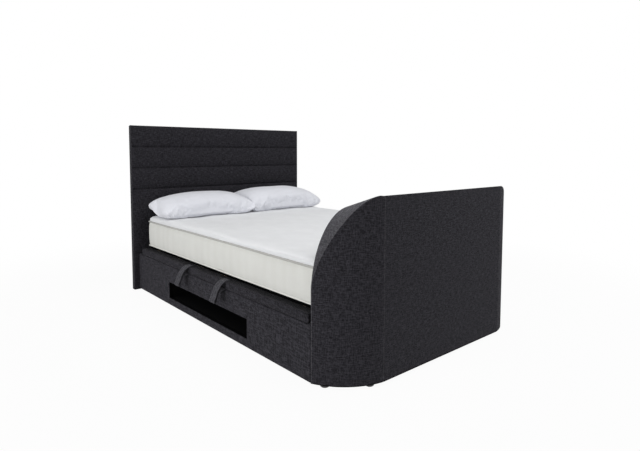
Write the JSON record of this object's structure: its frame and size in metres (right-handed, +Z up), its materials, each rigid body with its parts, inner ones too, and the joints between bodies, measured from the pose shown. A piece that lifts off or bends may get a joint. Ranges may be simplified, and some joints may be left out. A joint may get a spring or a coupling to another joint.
{
  "type": "tv bed",
  "caption": "Upholstered double bed with a channelled headboard, a side-lift storage base with a media recess, and a round-shouldered footboard that holds a television lift.",
  "frame": {"origin": "on the floor, under the middle of the whole bed", "axes": "+Z up, +Y towards the headboard, -X towards the side with the pull straps and the media recess"},
  "size_m": [1.5242, 2.246, 1.21],
  "materials": {
    "charcoal_weave": "near-black charcoal hopsack weave with fine paler flecks",
    "charcoal_webbing": "folded charcoal fabric strap with a stitched centre line",
    "black_board": "matt black faced board",
    "timber": "planed softwood",
    "beech": "sanded beech",
    "hardboard": "brown hardboard",
    "black_steel": "black powder coat",
    "bright_steel": "bright zinc",
    "black_plastic": "black moulded plastic",
    "rubber": "black rubber",
    "ticking": "ivory damask ticking with faint vertical stripes on the border",
    "cotton": "cool white plain cotton"
  },
  "bodies": {
    "frame": {"headboard_frame": "charcoal_weave", "headboard_pad": "charcoal_weave", "side_panel_left": "charcoal_weave", "side_panel_right": "charcoal_weave", "base_foot_rail": "timber", "base_head_rail": "timber", "media_box": "black_board", "storage_floor_foot": "hardboard", "storage_floor_head": "hardboard", "floor_batten_foot": "timber", "floor_batten_centre": "timber", "floor_batten_head": "timber", "corner_bracket_left_foot": "black_steel", "corner_bracket_left_head": "black_steel", "corner_bracket_right_foot": "black_steel", "corner_bracket_right_head": "black_steel", "footboard_glide_left_front": "black_plastic", "footboard_glide_left_back": "black_plastic", "footboard_glide_right_front": "black_plastic", "footboard_glide_right_back": "black_plastic", "footboard_back_panel": "charcoal_weave", "footboard_wing_left": "charcoal_weave", "footboard_wing_right": "charcoal_weave", "footboard_front_panel": "charcoal_weave", "footboard_base_board": "timber", "hinge_fixed_leaf": "bright_steel", "base_strut_bracket_foot": "black_steel", "base_strut_bracket_head": "black_steel", "lid_buffer_foot": "rubber", "lid_buffer_head": "rubber", "lift_foot_plate": "black_steel", "lift_outer_column": "black_steel", "lift_motor": "black_plastic"},
    "lid": {"lid_rail_left": "charcoal_weave", "lid_rail_right": "charcoal_weave", "lid_rail_foot": "charcoal_weave", "lid_rail_head": "charcoal_weave", "slat_ledge_left": "timber", "slat_ledge_right": "timber", "lid_slat_deck": "beech", "mattress": "ticking", "pillow_left": "cotton", "pillow_right": "cotton", "pull_strap_foot": "charcoal_webbing", "pull_strap_head": "charcoal_webbing", "hinge_moving_leaf": "bright_steel", "lid_strut_bracket_foot": "black_steel", "lid_strut_bracket_head": "black_steel"},
    "strut_foot_body": {"strut_foot_cylinder": "black_steel"},
    "strut_foot_piston": {"strut_foot_rod": "bright_steel"},
    "strut_head_body": {"strut_head_cylinder": "black_steel"},
    "strut_head_piston": {"strut_head_rod": "bright_steel"},
    "lift_middle": {"lift_middle_column": "bright_steel"},
    "lift_carriage": {"lift_inner_column": "bright_steel", "lift_head_bracket": "black_steel", "television_mount_plate": "black_steel", "television_cap": "charcoal_weave"}
  },
  "joints": [
    {"name": "lid_hinge", "type": "hinge", "parent": "frame", "child": "lid", "pos_m": [0.7248, 0, 0.2765], "axis": [0, 1, 0], "range_deg": [0, 35]},
    {"name": "strut_foot_pivot", "type": "hinge", "parent": "frame", "child": "strut_foot_body", "pos_m": [0.6598, -0.8302, 0.092], "axis": [0, 1, 0], "range_deg": [0, 17]},
    {"name": "strut_foot_slide", "type": "slide", "parent": "strut_foot_body", "child": "strut_foot_piston", "axis": [-0.6159, 0, 0.7878], "range_m": [0, 0.0925]},
    {"name": "strut_head_pivot", "type": "hinge", "parent": "frame", "child": "strut_head_body", "pos_m": [0.6598, 0.9092, 0.092], "axis": [0, 1, 0], "range_deg": [0, 17]},
    {"name": "strut_head_slide", "type": "slide", "parent": "strut_head_body", "child": "strut_head_piston", "axis": [-0.6159, 0, 0.7878], "range_m": [0, 0.0925]},
    {"name": "television_lift", "type": "slide", "parent": "frame", "child": "lift_carriage", "axis": [0, 0, 1], "range_m": [0, 0.6]},
    {"name": "lift_middle_slide", "type": "slide", "parent": "frame", "child": "lift_middle", "axis": [0, 0, 1], "range_m": [0, 0.3]}
  ],
  "couplings": [
    {"joint": "strut_foot_pivot", "follows": "lid_hinge", "ratio": 0.4713},
    {"joint": "strut_foot_slide", "follows": "lid_hinge", "m_per_rad": 0.1507},
    {"joint": "strut_head_pivot", "follows": "lid_hinge", "ratio": 0.4713},
    {"joint": "strut_head_slide", "follows": "lid_hinge", "m_per_rad": 0.1507},
    {"joint": "lift_middle_slide", "follows": "television_lift", "ratio": 0.5}
  ]
}
